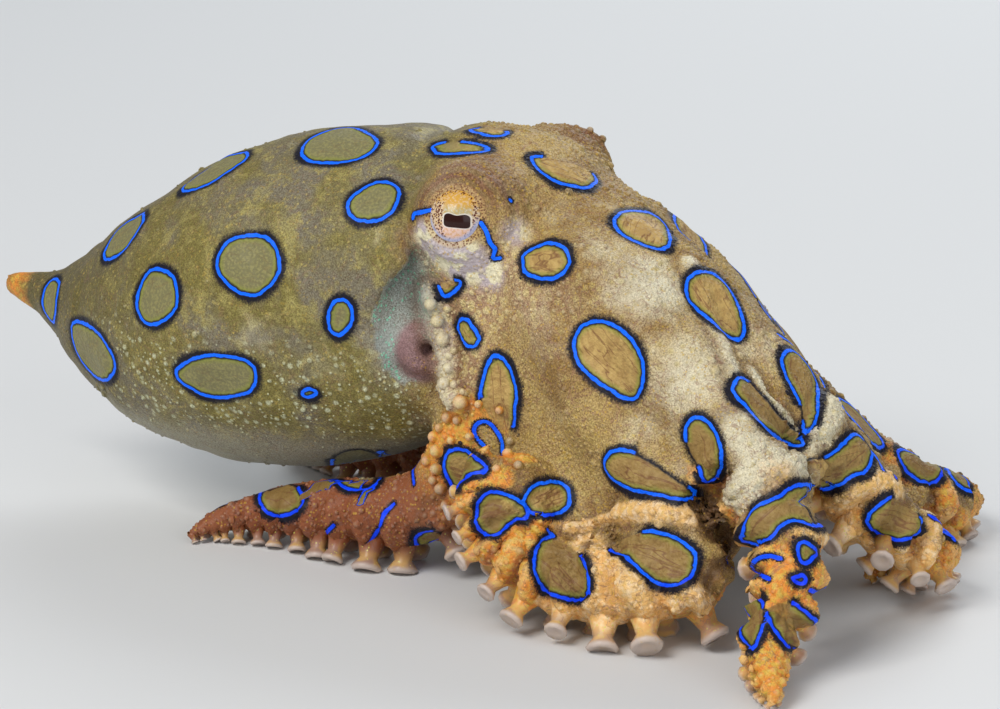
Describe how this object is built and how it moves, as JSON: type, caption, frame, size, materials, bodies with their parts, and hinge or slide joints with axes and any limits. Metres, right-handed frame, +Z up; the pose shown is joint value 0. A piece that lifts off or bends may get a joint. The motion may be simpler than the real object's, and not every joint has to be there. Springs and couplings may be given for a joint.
{
  "type": "blue-ringed octopus model",
  "caption": "Life-size still model of a blue-ringed octopus resting on its arms, web spread like a tent, pointed mantle held level behind the head.",
  "frame": {"origin": "bottom centre of the animal's box, on the floor it rests on", "axes": "+X the way the head faces, +Y the animal's left, +Z up"},
  "size_m": [0.0971, 0.0646, 0.0391],
  "materials": {
    "mantle_skin": "moist olive-tan skin with yellow speckle and blue rings",
    "head_skin": "moist tan skin, pale patch under each eye",
    "web_skin": "moist beige skin with cream streaks and blue rings",
    "arm_skin": "moist orange-tan skin with blue rings and pale suckers",
    "siphon_skin": "smooth pinkish grey skin",
    "eyeball": "clear glossy eye with a stippled iris and a slot pupil"
  },
  "bodies": {
    "root": {"mantle": "mantle_skin", "head": "head_skin", "eye_right": "eyeball", "eye_left": "eyeball", "siphon": "siphon_skin", "arm_right_1_base": "arm_skin", "arm_right_1_mid": "arm_skin", "arm_right_1_tip": "arm_skin", "arm_right_2_base": "arm_skin", "arm_right_2_mid": "arm_skin", "arm_right_2_tip": "arm_skin", "arm_right_3_base": "arm_skin", "arm_right_3_mid": "arm_skin", "arm_right_3_tip": "arm_skin", "arm_right_4_base": "arm_skin", "arm_right_4_mid": "arm_skin", "arm_right_4_tip": "arm_skin", "arm_left_1_base": "arm_skin", "arm_left_1_mid": "arm_skin", "arm_left_1_tip": "arm_skin", "arm_left_2_base": "arm_skin", "arm_left_2_mid": "arm_skin", "arm_left_2_tip": "arm_skin", "arm_left_3_base": "arm_skin", "arm_left_3_mid": "arm_skin", "arm_left_3_tip": "arm_skin", "arm_left_4_base": "arm_skin", "arm_left_4_mid": "arm_skin", "arm_left_4_tip": "arm_skin", "web_front": "web_skin", "web_right_12": "web_skin", "web_right_23": "web_skin", "web_right_34": "web_skin", "web_under": "web_skin", "web_left_34": "web_skin", "web_left_23": "web_skin", "web_left_12": "web_skin"}
  },
  "joints": []
}
